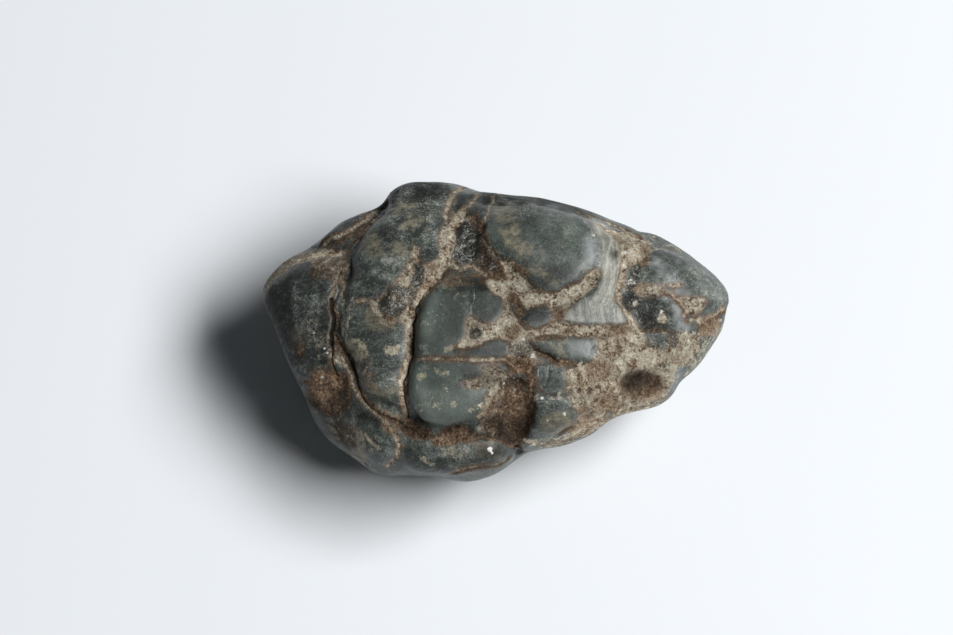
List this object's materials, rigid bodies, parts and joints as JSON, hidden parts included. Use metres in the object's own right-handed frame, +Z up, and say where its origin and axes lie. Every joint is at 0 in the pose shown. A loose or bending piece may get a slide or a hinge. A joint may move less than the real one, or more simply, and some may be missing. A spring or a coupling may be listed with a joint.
{
  "type": "rough jadeite pebble",
  "caption": "Water-worn rough jadeite pebble, knobbly and dark grey-green with rounded lobes, open fissures and weathered cream veins; rests on a small flat.",
  "frame": {"origin": "centre of the footprint box, on the small flat that the stone rests on", "axes": "+X along the stone towards its pointed end, +Z up from the resting flat, the fissured side faces up and towards -Y"},
  "size_m": [0.062, 0.0432, 0.0268],
  "materials": {
    "jadeite": "water-worn, waxy on the smooth lobes and dull in the weathered hollows"
  },
  "bodies": {
    "root": {"jadeite_stone": "jadeite"}
  },
  "joints": []
}
